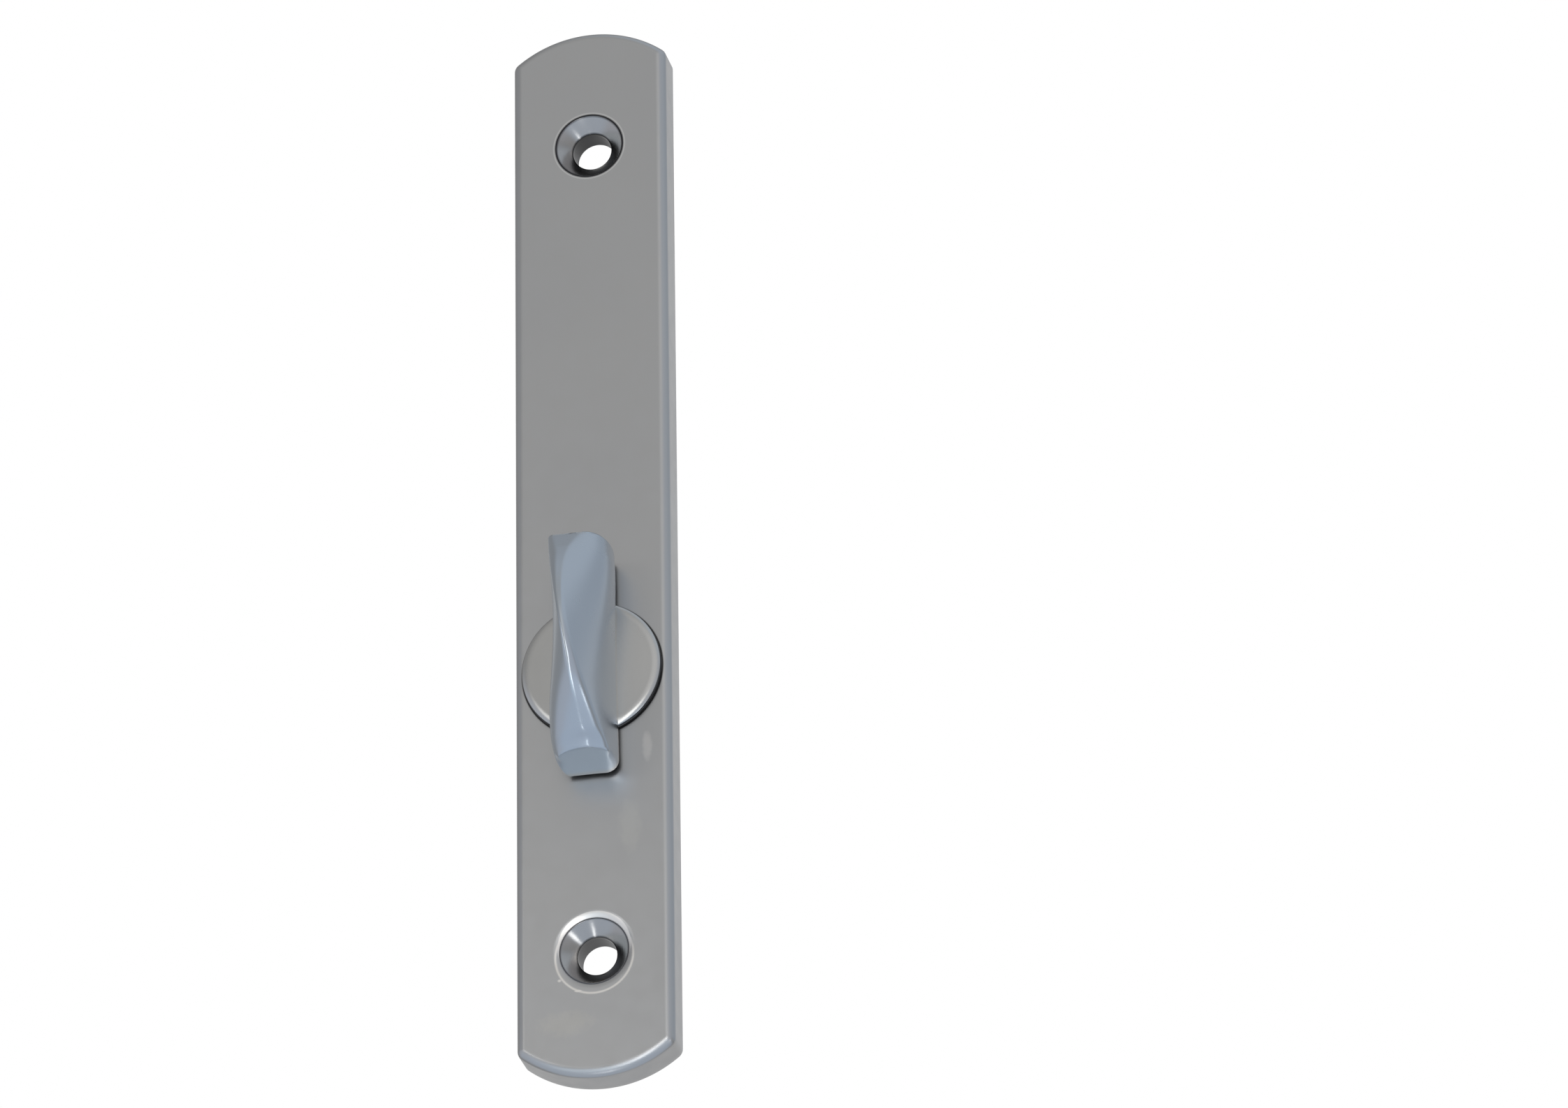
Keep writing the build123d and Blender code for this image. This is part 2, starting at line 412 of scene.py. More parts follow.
def flank_curve(u, edge, height, steps):
    """Points up the right flank at u, from the foot to the crest's edge."""
    rise = height - wing_clearance
    controls = [
        (wing_foot_half - wing_foot_skew * u, wing_clearance),
        (
            wing_half_width * station_value(flank_low_across, u),
            wing_clearance + rise * station_value(flank_low_up, u),
        ),
        (
            wing_half_width * station_value(flank_high_across, u),
            wing_clearance + rise * station_value(flank_high_up, u),
        ),
        (edge, height),
    ]
    points = []
    for i in range(steps + 1):
        t = i / steps
        weights = ((1 - t) ** 3, 3 * t * (1 - t) ** 2, 3 * t * t * (1 - t), t ** 3)
        points.append(Vector((
            sum(w * c[0] for w, c in zip(weights, controls)),
            sum(w * c[1] for w, c in zip(weights, controls)),
        )))
    return points


def cut_back(points, start_trim, end_trim, steps):
    """Points spaced evenly along a line of points, less a length at each end."""
    lengths = [0]
    for a, b in zip(points, points[1:]):
        lengths.append(lengths[-1] + (b - a).length)
    low, high = start_trim, lengths[-1] - end_trim
    result = []
    k = 0
    for i in range(steps + 1):
        target = mix(low, high, i / steps)
        while k < len(points) - 2 and lengths[k + 1] < target:
            k += 1
        span = lengths[k + 1] - lengths[k]
        result.append(points[k].lerp(points[k + 1], (target - lengths[k]) / span))
    return result


def rounded_loop(runs, trims, steps):
    """Closed line through several runs whose meeting corners are rounded.

    trims holds the length taken off on each side of the corner where a run begins, and steps the
    number of pieces along each run.
    """
    corner_steps = 8
    count = len(runs)
    pieces = []
    for i in range(count):
        pieces.append(cut_back(runs[i], trims[i], trims[(i + 1) % count], steps[i]))
    loop = []
    for i in range(count):
        corner = runs[i][0]
        before, after = pieces[i - 1][-1], pieces[i][0]
        for k in range(1, corner_steps):
            t = k / corner_steps
            loop.append(before.lerp(corner, t).lerp(corner.lerp(after, t), t))
        loop.extend(pieces[i])
    return loop


def wing_section(u):
    """Closed section across the wing at u, as points of place across and height above the plate."""
    right_edge = station_value(crest_right, u)
    left_edge = station_value(crest_left, u)
    right = flank_curve(u, right_edge, right_edge_rise(u), 60)
    left = [Vector((-p.x, p.y)) for p in flank_curve(-u, -left_edge, crest_rise(u), 60)]
    left.reverse()
    room = crest_edge_share * (right[-1] - left[0]).length
    right_trim = min(mix(soft_edge, crisp_edge, smooth_step(-0.55, 0.25, u)), room)
    ridge = mix(ridge_edge, middle_edge, smooth_step(-0.5, -0.15, u))
    left_trim = mix(ridge, soft_edge, smooth_step(0, 0.5, u) * smooth_step(1, 0.75, u))
    left_trim = min(left_trim, room)
    runs = [right, [right[-1], left[0]], left, [left[-1], right[0]]]
    return rounded_loop(runs, (foot_edge, right_trim, left_trim, foot_edge), (44, 8, 44, 12))


def square_to_round(across, along, half_width, radius):
    """Place of a point after the square corner that it lies in is made round."""
    over_x = across - (half_width - radius)
    over_z = along - (wing_half_length - radius)
    if over_x <= 0 or over_z <= 0:
        return across, along
    a, b = over_x / radius, over_z / radius
    across += radius * a * (sqrt(max(1 - b * b / 2, 0)) - 1)
    along += radius * b * (sqrt(max(1 - a * a / 2, 0)) - 1)
    return across, along


def wall_reach(section, side, height):
    """How far across the section reaches on one side at a height."""
    best = 0
    for a, b in zip(section, section[1:] + section[:1]):
        if min(a.y, b.y) <= height <= max(a.y, b.y):
            share = 0.5 if a.y == b.y else (height - a.y) / (b.y - a.y)
            best = max(best, side * mix(a.x, b.x, share))
    return best


def round_corner(x, height, z, end_section):
    """Point of the wing after the corner at its end, as seen from the front, is rounded."""
    side = 1 if x > 0 else -1
    end = 1 if z > 0 else -1
    if abs(z) < wing_half_length - foot_corner:
        return x, z
    if side * end < 0:
        share = (height - wing_clearance) / (crest_tip_height - wing_clearance)
        radius = mix(foot_corner, crest_corner, min(max(share, 0), 1))
    else:
        radius = scooped_corner
    half_width = max(wall_reach(end_section, side, height), radius + 0.1 * MM)
    across, along = square_to_round(side * x, end * z, half_width, radius)
    return side * across, end * along


def end_drop(z, radius):
    """How far the wing's top has sunk at z, where it rounds down to its end face."""
    slope = atan((crest_height - crest_tip_height) * crest_fall_power / wing_half_length)
    past = abs(z) - (wing_half_length - radius)
    if past <= radius * sin(slope):
        return 0
    tip_height = crest_rise(1 if z > 0 else -1)
    centre_height = tip_height - radius * tan((pi / 2 - slope) / 2)
    height = centre_height + sqrt(max(radius ** 2 - past ** 2, 0))
    return max(crest_rise(z / wing_half_length) - height, 0)


def nose_back(end, height):
    """How far the lower end face leans back at a height; the upper one is flat."""
    if end > 0:
        return 0
    return nose_setback * (max(height - wing_clearance, 0) / nose_height) ** nose_curve_power


def tip_rings(end):
    """Rings of points at one tip: up to the rim, round it, then over the end face to its core."""
    approach_steps, rim_steps, face_steps = 12, 10, 8
    section = wing_section(end)
    before = wing_section(end * (1 - tip_span / wing_half_length))
    top = max(p.y for p in section)
    top_radius = lower_tip_edge if end < 0 else upper_tip_edge
    core_low = Vector((0, 4 * MM))
    core_high = Vector(((crest_right[2 + 2 * end] + crest_left[2 + 2 * end]) / 4, 8 * MM))
    core_run = core_high - core_low
    rings = [[] for _ in range(approach_steps + rim_steps + face_steps)]
    for near, far in zip(before, section):
        share = min(max((far - core_low).dot(core_run) / core_run.length_squared, 0), 1)
        core = core_low.lerp(core_high, share)
        inward = (core - far).normalized()
        flank = left_rim_edge if far.x < core.x else right_rim_edge
        if end > 0:
            flank = upper_rim_edge
        side_radius = mix(foot_edge, flank, smooth_step(1 * MM, 9 * MM, far.y))
        crest_share = smooth_step(top - 4.5 * MM, top - 2 * MM, far.y)
        radius = mix(side_radius, top_radius, crest_share)
        sinking = smooth_step(6 * MM, top, far.y)
        inset = side_radius * (1 - crest_share)
        places = []
        for k in range(approach_steps):
            places.append((mix(tip_span, radius, (k + 1) / approach_steps), 0))
        for k in range(rim_steps):
            angle = (k + 1) / rim_steps * pi / 2
            places.append((radius * (1 - sin(angle)), inset * (1 - cos(angle))))
        for k, (short, moved) in enumerate(places):
            z = wing_half_length - short
            point = far.lerp(near, short / tip_span) + inward * moved
            height = point.y - sinking * end_drop(z, top_radius)
            back = nose_back(end, height) * smooth_step(tip_span, 0, short)
            rings[k].append((point.x, height, end * (z - back)))
        rim = Vector(rings[approach_steps + rim_steps - 1][-1][:2])
        for k in range(face_steps):
            share = (k + 1) / face_steps * core_share
            point = rim.lerp(core, share)
            z = wing_half_length - nose_back(end, point.y)
            rings[approach_steps + rim_steps + k].append((point.x, point.y, end * z))
    return [[round_plan(p, section) for p in ring] for ring in rings]


def round_plan(point, end_section):
    """The point (across, height, z) with the wing's corners rounded, as seen from the front."""
    x, height, z = point
    new_x, new_z = round_corner(x, height, z, end_section)
    return new_x, height, new_z


def build_wing():
    """Solid of the twisted wing."""
    body_steps = 110
    rings = []
    ends = {-1: wing_section(-1), 1: wing_section(1)}
    reach = wing_half_length - tip_span
    low_tip, high_tip = tip_rings(-1), tip_rings(1)
    rings.extend(reversed(low_tip))
    for i in range(body_steps + 1):
        z = mix(-reach, reach, i / body_steps)
        section = wing_section(z / wing_half_length)
        end_section = ends[1 if z > 0 else -1]
        rings.append([round_plan((p.x, p.y, z), end_section) for p in section])
    rings.extend(high_tip)
    bm = bmesh.new()
    made = [[bm.verts.new((x, -plate_depth - h, z)) for x, h, z in ring] for ring in rings]
    bridge(bm, made)
    bmesh.ops.remove_doubles(bm, verts=bm.verts, dist=0.5e-6)
    bmesh.ops.holes_fill(bm, edges=[e for e in bm.edges if e.is_boundary], sides=0)
    return bm


def turn_profile():
    """Radius and depth of the disc and the journal, from the front's middle to the back's."""
    front = -(plate_depth + disc_clearance + disc_thickness)
    back = -(plate_depth + disc_clearance)
    shoulder = disc_radius - disc_edge_width
    profile = []
    for i in range(1, 12):
        share = i / 12
        profile.append((shoulder * share, front + disc_dome * share ** 2))
    for across, up in rounding(1, -90, 0, 14):
        profile.append((
            shoulder + disc_edge_width * across,
            front + disc_dome + (disc_edge_depth - disc_dome) * (1 + up),
        ))
    for across, up in rounding(back_edge_radius, 0, 90, 4):
        profile.append((disc_radius - back_edge_radius + across, back - back_edge_radius + up))
    profile.extend([(disc_radius - 1 * MM, back), (journal_radius + 0.3 * MM, back)])
    profile.append((journal_radius, back + 0.05 * MM))
    groove_front = -groove_back - groove_width
    profile.extend([(journal_radius, -4 * MM), (journal_radius, groove_front)])
    profile.extend([(groove_radius, groove_front), (groove_radius, -groove_back)])
    profile.extend([(journal_radius, -groove_back), (journal_radius, -journal_sink - 0.2 * MM)])
    profile.extend([(journal_radius - 0.2 * MM, -journal_sink), (5 * MM, -journal_sink)])
    return profile


def build_turn():
    """Cast turn: disc, journal and twisted wing, with its square socket and cross hole."""
    bm = bmesh.new()
    rings = [circle_ring(bm, radius, y, 0, 160) for radius, y in turn_profile()]
    bridge(bm, rings)
    bm.faces.new(rings[0])
    bm.faces.new(rings[-1])
    turn = finished_piece("turn_casting", bm, "turn", "thumb_turn")
    combine(turn, build_wing(), "UNION")
    socket = box_solid(
        (-socket_half, -journal_sink - socket_depth, -socket_half),
        (socket_half, 1 * MM, socket_half),
    )
    combine(turn, socket, "DIFFERENCE")
    drill = bmesh.new()
    place = Matrix.Translation((0, -cross_hole_depth, 0)) @ Matrix.Rotation(pi / 2, 4, "Y")
    bmesh.ops.create_cone(
        drill, cap_ends=True, segments=32, radius1=cross_hole_radius, radius2=cross_hole_radius,
        depth=4 * journal_radius, matrix=place,
    )
    combine(turn, drill, "DIFFERENCE")
    shade(turn, 35)
    return turn


def node_of(tree, kind, place, **settings):
    """New node at a place in the tree's picture, with its properties set."""
    node = tree.nodes.new(kind)
    node.location = place
    for name, value in settings.items():
        setattr(node, name, value)
    return node


def calculated(tree, place, operation, *values):
    """Output of a sum on plain numbers and other nodes' outputs."""
    node = node_of(tree, "ShaderNodeMath", place, operation=operation)
    for socket, value in zip(node.inputs, values):
        if isinstance(value, (int, float)):
            socket.default_value = value
        else:
            tree.links.new(value, socket)
    return node.outputs[0]


def new_group(name, inputs, outputs):
    """Shader node group with float inputs of given defaults, and float outputs."""
    group = bpy.data.node_groups.new(name, "ShaderNodeTree")
    for label, default in inputs.items():
        socket = group.interface.new_socket(label, in_out="INPUT", socket_type="NodeSocketFloat")
        socket.default_value = default
    for label in outputs:
        group.interface.new_socket(label, in_out="OUTPUT", socket_type="NodeSocketFloat")
    given = node_of(group, "NodeGroupInput", (-900, 0))
    return group, given, node_of(group, "NodeGroupOutput", (1000, 0))


def brushed_lines_group():
    """Fine lines left by a belt along the plate, in several widths."""
    group, given, result = new_group(
        "brushed_lines", {"Lines per metre": 1800.0, "Length of a line": 40.0}, ("Lines",)
    )
    links = group.links
    where = node_of(group, "ShaderNodeTexCoord", (-900, 300))
    stretch = node_of(group, "ShaderNodeCombineXYZ", (-700, 0))
    links.new(given.outputs["Lines per metre"], stretch.inputs["X"])
    links.new(given.outputs["Lines per metre"], stretch.inputs["Y"])
    links.new(given.outputs["Length of a line"], stretch.inputs["Z"])
    scaled = node_of(group, "ShaderNodeVectorMath", (-500, 100), operation="MULTIPLY")
    links.new(where.outputs["Object"], scaled.inputs[0])
    links.new(stretch.outputs["Vector"], scaled.inputs[1])
    fine = node_of(group, "ShaderNodeTexNoise", (-250, 200))
    fine.inputs["Scale"].default_value = 1
    fine.inputs["Detail"].default_value = 4
    fine.inputs["Roughness"].default_value = 0.65
    links.new(scaled.outputs["Vector"], fine.inputs["Vector"])
    links.new(fine.outputs["Fac"], result.inputs["Lines"])
    return group


def patches_group():
    """Slow, uneven patches, as of plating and handling, with a finer mottle in them."""
    group, given, result = new_group("patches", {"Per metre": 45.0}, ("Patches", "Mottle"))
    links = group.links
    where = node_of(group, "ShaderNodeTexCoord", (-900, 300))
    for place, label, times, detail in ((0, "Patches", 1.0, 2.0), (-300, "Mottle", 9.0, 5.0)):
        scale = calculated(group, (-500, place), "MULTIPLY", given.outputs["Per metre"], times)
        noise = node_of(group, "ShaderNodeTexNoise", (-250, place))
        noise.inputs["Detail"].default_value = detail
        links.new(where.outputs["Object"], noise.inputs["Vector"])
        links.new(scale, noise.inputs["Scale"])
        links.new(noise.outputs["Fac"], result.inputs[label])
    return group


def plate_place(group):
    """Place on the plate, whole and as its X, Y and Z."""
    where = node_of(group, "ShaderNodeTexCoord", (-900, 300)).outputs["Object"]
    parts = node_of(group, "ShaderNodeSeparateXYZ", (-700, 300))
    group.links.new(where, parts.inputs[0])
    return where, parts.outputs


def down_to_depth(group, place, share, parts, depth):
    """Share of a mark, kept from the front face back to the depth that the mark reaches."""
    x, y = place
    behind_face = calculated(group, (x - 600, y + 300), "ADD", parts["Y"], plate_depth)
    past = calculated(group, (x - 400, y + 300), "SUBTRACT", behind_face, depth)
    kept = node_of(group, "ShaderNodeMapRange", (x - 200, y + 300))
    kept.inputs["From Min"].default_value = 0.2 * MM
    kept.inputs["From Max"].default_value = 0
    group.links.new(past, kept.inputs["Value"])
    return calculated(group, place, "MULTIPLY", share, kept.outputs["Result"])


def spot_group():
    """Soft round or long spot at one place on the plate, 1 in its middle and 0 outside."""
    group, given, result = new_group(
        "soft_spot",
        {
            "Across": 0.0, "Up": 0.0, "Half width": 0.002, "Half height": 0.002, "Ragged": 0.3,
            "Depth": 0.001,
        },
        ("Spot",),
    )
    where, parts = plate_place(group)
    squares = []
    for y, axis, centre, half in (
        (0, "X", "Across", "Half width"), (-200, "Z", "Up", "Half height"),
    ):
        away = calculated(group, (-500, y), "SUBTRACT", parts[axis], given.outputs[centre])
        share = calculated(group, (-350, y), "DIVIDE", away, given.outputs[half])
        squares.append(calculated(group, (-200, y), "POWER", share, 2))
    total = calculated(group, (0, 0), "ADD", *squares)
    noise = node_of(group, "ShaderNodeTexNoise", (-200, 400))
    noise.inputs["Scale"].default_value = 900
    group.links.new(where, noise.inputs["Vector"])
    uneven = calculated(group, (0, 400), "SUBTRACT", noise.outputs["Fac"], 0.5)
    ragged = calculated(group, (150, 300), "MULTIPLY_ADD", uneven, given.outputs["Ragged"], total)
    spot = node_of(group, "ShaderNodeMapRange", (400, 100), interpolation_type="SMOOTHSTEP")
    spot.inputs["From Min"].default_value = 1
    spot.inputs["From Max"].default_value = 0
    group.links.new(ragged, spot.inputs["Value"])
    kept = down_to_depth(group, (800, 0), spot.outputs["Result"], parts, given.outputs["Depth"])
    group.links.new(kept, result.inputs["Spot"])
    return group


def round_marks_group():
    """Shares of a round place on the plate: its inside, and a soft line along its circle."""
    group, given, result = new_group(
        "round_marks", {"Up": 0.0, "Radius": 0.006, "Half width": 0.0003, "Depth": 0.001},
        ("Inside", "Line"),
    )
    links = group.links
    parts = plate_place(group)[1]
    up = calculated(group, (-500, 100), "SUBTRACT", parts["Z"], given.outputs["Up"])
    flat = node_of(group, "ShaderNodeCombineXYZ", (-350, 200))
    links.new(parts["X"], flat.inputs["X"])
    links.new(up, flat.inputs["Z"])
    length = node_of(group, "ShaderNodeVectorMath", (-200, 200), operation="LENGTH")
    links.new(flat.outputs[0], length.inputs[0])
    away = calculated(
        group, (0, 100), "SUBTRACT", length.outputs["Value"], given.outputs["Radius"]
    )
    inside = node_of(group, "ShaderNodeMapRange", (200, 200), interpolation_type="SMOOTHSTEP")
    inside.inputs["From Min"].default_value = 0.06 * MM
    inside.inputs["From Max"].default_value = -0.06 * MM
    links.new(away, inside.inputs["Value"])
    line = node_of(group, "ShaderNodeMapRange", (200, -200), interpolation_type="SMOOTHSTEP")
    links.new(calculated(group, (100, -100), "ABSOLUTE", away), line.inputs["Value"])
    links.new(given.outputs["Half width"], line.inputs["From Min"])
    line.inputs["From Max"].default_value = 0
    for y, label, share in ((300, "Inside", inside), (-400, "Line", line)):
        kept = down_to_depth(
            group, (800, y), share.outputs["Result"], parts, given.outputs["Depth"]
        )
        links.new(kept, result.inputs[label])
    return group


groups = {
    "brushed_lines": brushed_lines_group(),
    "patches": patches_group(),
    "soft_spot": spot_group(),
    "round_marks": round_marks_group(),
}


def place_group(tree, name, place, **values):
    """Node group in a material, with its own values; an underscore stands for a space."""
    node = node_of(tree, "ShaderNodeGroup", place, node_tree=groups[name])
    for label, value in values.items():
        node.inputs[label.replace("_", " ")].default_value = value
    return node


def new_metal(name, colour, roughness):
    """Material with one metal shader; gives the material, its tree and the shader."""
    material = bpy.data.materials.new(name)
    material.use_nodes = True
    tree = material.node_tree
    tree.nodes.clear()
    output = node_of(tree, "ShaderNodeOutputMaterial", (900, 0))
    shader = node_of(tree, "ShaderNodeBsdfPrincipled", (600, 0))
    tree.links.new(shader.outputs["BSDF"], output.inputs["Surface"])
    shader.inputs["Base Color"].default_value = (*colour, 1)
    shader.inputs["Metallic"].default_value = 1
    shader.inputs["Roughness"].default_value = roughness
    material.diffuse_color = (*colour, 1)
    return material, tree, shader


def blended(tree, place, share, dark, light):
    """Colour between two colours by a share that changes over the surface."""
    node = node_of(tree, "ShaderNodeMix", place, data_type="RGBA")
    tree.links.new(share, node.inputs["Factor"])
    for socket, colour in ((node.inputs[6], dark), (node.inputs[7], light)):
        if isinstance(colour, tuple):
            socket.default_value = (*colour, 1)
        else:
            tree.links.new(colour, socket)
    return node.outputs[2]


def ranged(tree, place, share, low, high, from_low=0.3, from_high=0.7):
    """Number between two limits by a share that changes over the surface."""
    node = node_of(tree, "ShaderNodeMapRange", place)
    node.inputs["From Min"].default_value = from_low
    node.inputs["From Max"].default_value = from_high
    node.inputs["To Min"].default_value = low
    node.inputs["To Max"].default_value = high
    tree.links.new(share, node.inputs["Value"])
    return node.outputs["Result"]


def bumped(tree, place, height, strength, distance, below=None):
    """Normal bent by a height, over another bump if one is given."""
    node = node_of(tree, "ShaderNodeBump", place)
    node.inputs["Strength"].default_value = strength
    node.inputs["Distance"].default_value = distance
    tree.links.new(height, node.inputs["Height"])
    if below is not None:
        tree.links.new(below, node.inputs["Normal"])
    return node.outputs["Normal"]


def satin_plate_material():
    """Satin nickel, brushed along the plate, with chips and lighter and darker spots round its
    holes; painted shade in the countersinks, the bores and round the turn, and painted highlights
    round the holes' mouths.
    """
    material, tree, shader = new_metal("satin_nickel_plate", (0.56, 0.56, 0.56), 0.34)
    lines = place_group(
        tree, "brushed_lines", (-1200, 300), Lines_per_metre=2200, Length_of_a_line=30
    )
    patches = place_group(tree, "patches", (-1200, 0), Per_metre=38)
    colour = blended(
        tree, (-900, 300), patches.outputs["Patches"], (0.545, 0.548, 0.555), (0.585, 0.583, 0.578)
    )
    rough = ranged(tree, (-900, 0), patches.outputs["Mottle"], 0.31, 0.37)
    upper, lower = plate_middle + screw_half_spacing, plate_middle - screw_half_spacing
    cone_radius = countersink_radius + 0.1 * MM
    # The countersinks' colour is a little darker and warmer than the face: painted shade in the
    # recess.
    shaded_cone = (0.52, 0.505, 0.49)
    # Near-white for the painted highlight crescent round the lower hole, and for two chips on it.
    chip_and_highlight_white, smooth = (0.96, 0.93, 0.89), []
    # Round marks, in order: a painted highlight ring round the upper hole's mouth; the painted
    # highlight crescent round the lower hole, as a line and a filled circle; each countersink in
    # its darker colour with a dark line at its rim, which is painted shade; each bore painted dark
    # with a darker line at its mouth, which is painted shade, the lower bore lighter.
    for row, (up, radius, half, depth, inner, line) in enumerate((
        (upper, cone_radius + 0.35 * MM, 0.3 * MM, 1 * MM, None, (0.80, 0.80, 0.79)),
        (lower - 0.9 * MM, 6.9 * MM, 0.35 * MM, 1 * MM, None, chip_and_highlight_white),
        (lower + 0.95 * MM, 6.4 * MM, 0.2 * MM, 1 * MM, chip_and_highlight_white, chip_and_highlight_white),
        (upper, cone_radius, 0.42 * MM, 3.2 * MM, shaded_cone, (0.02, 0.02, 0.025)),
        (lower, cone_radius, 0.3 * MM, 3.2 * MM, shaded_cone, (0.14, 0.14, 0.15)),
        (upper, 3.55 * MM, 0.3 * MM, plate_depth, (0.20, 0.20, 0.21), (0.08, 0.08, 0.08)),
        (lower, 3.55 * MM, 0.3 * MM, plate_depth, (0.42, 0.42, 0.43), (0.12, 0.12, 0.12)),
    )):
        marks = place_group(
            tree, "round_marks", (-700, 900 - 200 * row), Up=up, Radius=radius, Half_width=half,
            Depth=depth,
        )
        if inner:
            colour = blended(tree, (-450, 900 - 200 * row), marks.outputs["Inside"], colour, inner)
        if inner is shaded_cone:
            smooth.append(marks.outputs["Inside"])
        colour = blended(tree, (-250, 900 - 200 * row), marks.outputs["Line"], colour, line)
    for row, inside in enumerate(smooth):
        kept = ranged(tree, (-450, -700 - 200 * row), inside, 1, 0.55, 0, 1)
        rough = calculated(tree, (-250, -700 - 200 * row), "MULTIPLY", rough, kept)
    # Spots: two chips on the lower hole's painted highlight crescent, two lighter spots to the
    # right of and below the turn, a lighter patch below the lower hole, and a small dark spot at
    # the lower bore's lower edge.
    for row, (across, up, half_width, half_height, ragged, mark) in enumerate((
        (-6.2, lower / MM - 5, 0.45, 0.35, 0.5, chip_and_highlight_white),
        (-2.9, lower / MM - 7.2, 0.8, 0.3, 0.5, chip_and_highlight_white),
        (9.7, -15.4, 1.1, 3.4, 0.6, (0.70, 0.69, 0.68)),
        (6.5, -30, 2.5, 6, 0.9, (0.60, 0.60, 0.59)),
        (-5, lower / MM - 13, 6, 3, 1.2, (0.60, 0.595, 0.58)),
        (0.5, lower / MM - 3.6, 1.3, 0.35, 1.2, (0.05, 0.05, 0.05)),
    )):
        spot = place_group(
            tree, "soft_spot", (-450, -1300 - 200 * row), Across=across * MM, Up=up * MM,
            Half_width=half_width * MM, Half_height=half_height * MM, Ragged=ragged,
            Depth=2.3 * MM,
        )
        colour = blended(tree, (-250, -1300 - 200 * row), spot.outputs["Spot"], colour, mark)
    # Near-black ring on the plate just outside the disc's rim: painted shadow of the gap under the
    # disc.
    disc_gap_shadow = place_group(
        tree, "round_marks", (-700, 100), Up=0, Radius=disc_radius + 0.1 * MM, Half_width=0.3 * MM
    )
    colour = blended(tree, (-50, 300), disc_gap_shadow.outputs["Line"], colour, (0.03, 0.03, 0.03))
    tree.links.new(colour, shader.inputs["Base Color"])
    tree.links.new(rough, shader.inputs["Roughness"])
    dish = place_group(
        tree, "round_marks", (-700, -400), Up=lower + 0.4 * MM, Radius=5 * MM, Half_width=2.4 * MM
    )
    outside = calculated(tree, (-550, -500), "SUBTRACT", smooth[1], 1)
    worn = calculated(tree, (-400, -400), "MULTIPLY", dish.outputs["Line"], outside)
    brushed = bumped(tree, (100, -200), lines.outputs["Lines"], 0.12, 0.00004)
    wavy = bumped(tree, (300, -300), patches.outputs["Patches"], 0.3, 0.0001, brushed)
    raised = bumped(tree, (450, -400), worn, 1, 0.0006, wavy)
    tree.links.new(raised, shader.inputs["Normal"])
    return material


def satin_turn_material():
    """Satin nickel on the turn, smoother than the plate, with its wing painted bluer as a painted
    reflection, and painted shade near the plate where the two meet.
    """
    # The turn's bluish base colour is a painted reflection of bluish surroundings.
    material, tree, shader = new_metal("satin_nickel_turn", (0.58, 0.61, 0.655), 0.26)
    patches = place_group(tree, "patches", (-900, 0), Per_metre=90)
    # The wing is painted bluer than the disc, and on_disc picks between them by height: a painted
    # reflection on one and the same nickel.
    wing = blended(
        tree, (-500, 300), patches.outputs["Patches"], (0.55, 0.60, 0.655), (0.575, 0.62, 0.67)
    )
    disc = blended(
        tree, (-500, 550), patches.outputs["Patches"], (0.59, 0.59, 0.58), (0.62, 0.615, 0.60)
    )
    where = node_of(tree, "ShaderNodeTexCoord", (-900, -400))
    parts = node_of(tree, "ShaderNodeSeparateXYZ", (-700, -400))
    tree.links.new(where.outputs["Object"], parts.inputs[0])
    on_disc = ranged(
        tree, (-500, -200), parts.outputs["Y"], 0, 1,
        -plate_depth - 2.6 * MM, -plate_depth - 1.8 * MM,
    )
    colour = blended(tree, (-250, 400), on_disc, wing, disc)
    # Within about 1 mm of the plate's front the turn is painted near-black: painted shade in the
    # gap under the disc's rim and under the wing's ends.
    low = ranged(
        tree, (-500, -450), parts.outputs["Y"], 0, 1,
        -plate_depth - 1.16 * MM, -plate_depth - 1.04 * MM,
    )
    colour = blended(tree, (0, 300), low, colour, (0.07, 0.07, 0.075))
    tree.links.new(colour, shader.inputs["Base Color"])
    rough = ranged(tree, (-200, 0), patches.outputs["Patches"], 0.24, 0.28)
    tree.links.new(rough, shader.inputs["Roughness"])
    peel = bumped(tree, (200, -200), patches.outputs["Patches"], 0.1, 0.00005)
    tree.links.new(peel, shader.inputs["Normal"])
    return material


def plated_steel_material():
    """Bright zinc on drawn steel, for the bar, its pin and the flat washer."""
    material, tree, shader = new_metal("zinc_plated_steel", (0.62, 0.62, 0.63), 0.3)
    patches = place_group(tree, "patches", (-600, 0), Per_metre=160)
    base = blended(
        tree, (-200, 300), patches.outputs["Patches"], (0.52, 0.53, 0.55), (0.68, 0.68, 0.67)
    )
    tree.links.new(base, shader.inputs["Base Color"])
    rough = ranged(tree, (-200, 0), patches.outputs["Mottle"], 0.24, 0.42)
    tree.links.new(rough, shader.inputs["Roughness"])
    peel = bumped(tree, (200, -200), patches.outputs["Mottle"], 0.15, 0.00004)
    tree.links.new(peel, shader.inputs["Normal"])
    return material


def dark_spring_material():
    """Dark phosphate on spring steel, for the curved washer and the retaining ring."""
    material, tree, shader = new_metal("phosphated_spring_steel", (0.13, 0.13, 0.135), 0.45)
    patches = place_group(tree, "patches", (-600, 0), Per_metre=220)
    base = blended(
        tree, (-200, 300), patches.outputs["Mottle"], (0.075, 0.075, 0.08), (0.19, 0.185, 0.18)
    )
    tree.links.new(base, shader.inputs["Base Color"])
    rough = ranged(tree, (-200, 0), patches.outputs["Patches"], 0.38, 0.55)
    tree.links.new(rough, shader.inputs["Roughness"])
    grain = bumped(tree, (200, -200), patches.outputs["Mottle"], 0.25, 0.00004)
    tree.links.new(grain, shader.inputs["Normal"])
    return material


